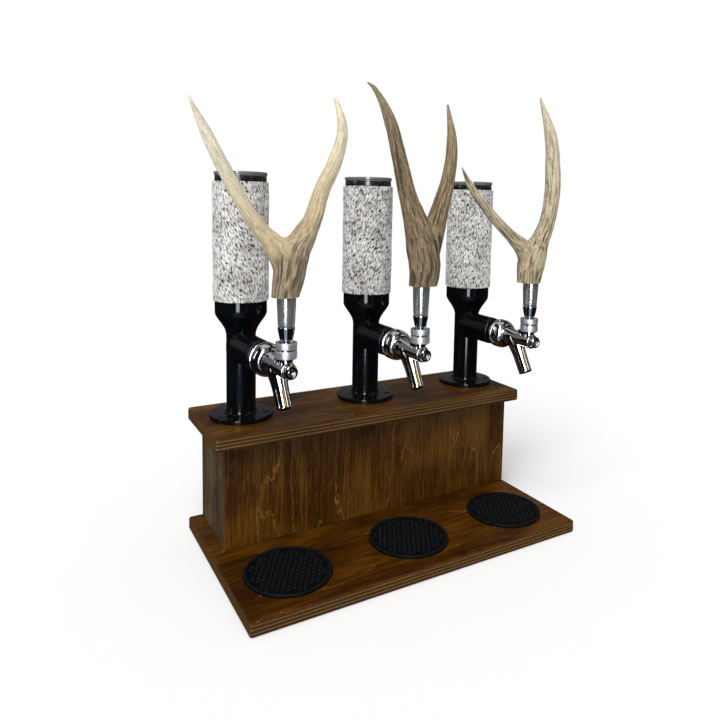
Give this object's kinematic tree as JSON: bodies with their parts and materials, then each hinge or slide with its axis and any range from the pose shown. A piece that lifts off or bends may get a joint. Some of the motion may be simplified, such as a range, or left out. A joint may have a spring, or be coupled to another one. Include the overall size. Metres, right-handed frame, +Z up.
{
  "type": "tap tower",
  "caption": "Countertop drink dispenser: black tap towers with hide-wrapped reservoirs, chrome taps and antler handles on a two-step plywood stand with coasters.",
  "frame": {"origin": "centre of the base board's underside, which rests on the counter", "axes": "+Z up, +X to the right, -Y towards the front, where the spouts and coasters are"},
  "size_m": [0.4949, 0.2516, 0.5743],
  "materials": {
    "stained_plywood": "birch plywood stained walnut brown, satin varnish, striped edges",
    "black_paint": "gloss black enamel on steel",
    "cowhide": "hair-on cowhide, white and grey with dark brown speckles",
    "reservoir_plastic": "glossy black plastic tube",
    "stopper_rubber": "satin black rubber",
    "lid_plastic": "glossy smoke grey disc",
    "chrome": "polished chrome plate on brass",
    "antler": "natural shed antler: tan and cream with brown streaks and pores",
    "coaster_silicone": "matt black silicone with a fine raised grid",
    "black_screw": "black oxide steel"
  },
  "bodies": {
    "stand": {"base_board": "stained_plywood", "riser_front": "stained_plywood", "riser_back": "stained_plywood", "riser_left": "stained_plywood", "riser_right": "stained_plywood", "top_board": "stained_plywood", "flange_left": "black_paint", "tower_body_left": "black_paint", "reservoir_tube_left": "reservoir_plastic", "hide_sleeve_left": "cowhide", "shank_left": "chrome", "coupling_nut_left": "chrome", "faucet_body_left": "chrome", "bonnet_left": "chrome", "flange_screw_left_1": "black_screw", "flange_screw_left_2": "black_screw", "flange_screw_left_3": "black_screw", "flange_middle": "black_paint", "tower_body_middle": "black_paint", "reservoir_tube_middle": "reservoir_plastic", "hide_sleeve_middle": "cowhide", "shank_middle": "chrome", "coupling_nut_middle": "chrome", "faucet_body_middle": "chrome", "bonnet_middle": "chrome", "flange_screw_middle_1": "black_screw", "flange_screw_middle_2": "black_screw", "flange_screw_middle_3": "black_screw", "flange_right": "black_paint", "tower_body_right": "black_paint", "reservoir_tube_right": "reservoir_plastic", "hide_sleeve_right": "cowhide", "shank_right": "chrome", "coupling_nut_right": "chrome", "faucet_body_right": "chrome", "bonnet_right": "chrome", "flange_screw_right_1": "black_screw", "flange_screw_right_2": "black_screw", "flange_screw_right_3": "black_screw"},
    "handle_left": {"lever_left": "chrome", "ferrule_left": "chrome", "antler_handle_left": "antler"},
    "valve_left": {"plunger_left": "chrome"},
    "lid_left": {"lid_stopper_left": "stopper_rubber", "lid_disc_left": "lid_plastic"},
    "coaster_left": {"coaster_left": "coaster_silicone"},
    "handle_middle": {"lever_middle": "chrome", "ferrule_middle": "chrome", "antler_handle_middle": "antler"},
    "valve_middle": {"plunger_middle": "chrome"},
    "lid_middle": {"lid_stopper_middle": "stopper_rubber", "lid_disc_middle": "lid_plastic"},
    "coaster_middle": {"coaster_middle": "coaster_silicone"},
    "handle_right": {"lever_right": "chrome", "ferrule_right": "chrome", "antler_handle_right": "antler"},
    "valve_right": {"plunger_right": "chrome"},
    "lid_right": {"lid_stopper_right": "stopper_rubber", "lid_disc_right": "lid_plastic"},
    "coaster_right": {"coaster_right": "coaster_silicone"}
  },
  "joints": [
    {"name": "tap_lever_left", "type": "hinge", "parent": "stand", "child": "handle_left", "pos_m": [-0.16783, -0.07878, 0.2802], "axis": [0.9991, 0.0419, 0], "range_deg": [0, 25]},
    {"name": "valve_stroke_left", "type": "slide", "parent": "stand", "child": "valve_left", "axis": [-0.0419, 0.9991, 0], "range_m": [0, 0.0112]},
    {"name": "tap_lever_middle", "type": "hinge", "parent": "stand", "child": "handle_middle", "pos_m": [0.0025, -0.0754, 0.2802], "axis": [1, 0, 0], "range_deg": [0, 25]},
    {"name": "valve_stroke_middle", "type": "slide", "parent": "stand", "child": "valve_middle", "axis": [0, 1, 0], "range_m": [0, 0.0112]},
    {"name": "tap_lever_right", "type": "hinge", "parent": "stand", "child": "handle_right", "pos_m": [0.174, -0.0762, 0.2802], "axis": [1, 0, 0], "range_deg": [0, 25]},
    {"name": "valve_stroke_right", "type": "slide", "parent": "stand", "child": "valve_right", "axis": [0, 1, 0], "range_m": [0, 0.0112]},
    {"name": "lid_lift_left", "type": "slide", "parent": "stand", "child": "lid_left", "axis": [0, 0, 1], "range_m": [0, 0.1]},
    {"name": "lid_lift_middle", "type": "slide", "parent": "stand", "child": "lid_middle", "axis": [0, 0, 1], "range_m": [0, 0.1]},
    {"name": "lid_lift_right", "type": "slide", "parent": "stand", "child": "lid_right", "axis": [0, 0, 1], "range_m": [0, 0.1]},
    {"name": "coaster_lift_left", "type": "slide", "parent": "stand", "child": "coaster_left", "axis": [0, 0, 1], "range_m": [0, 0.05]},
    {"name": "coaster_lift_middle", "type": "slide", "parent": "stand", "child": "coaster_middle", "axis": [0, 0, 1], "range_m": [0, 0.05]},
    {"name": "coaster_lift_right", "type": "slide", "parent": "stand", "child": "coaster_right", "axis": [0, 0, 1], "range_m": [0, 0.05]}
  ],
  "couplings": [
    {"joint": "valve_stroke_left", "follows": "tap_lever_left", "m_per_rad": 0.0245},
    {"joint": "valve_stroke_middle", "follows": "tap_lever_middle", "m_per_rad": 0.0245},
    {"joint": "valve_stroke_right", "follows": "tap_lever_right", "m_per_rad": 0.0245}
  ]
}
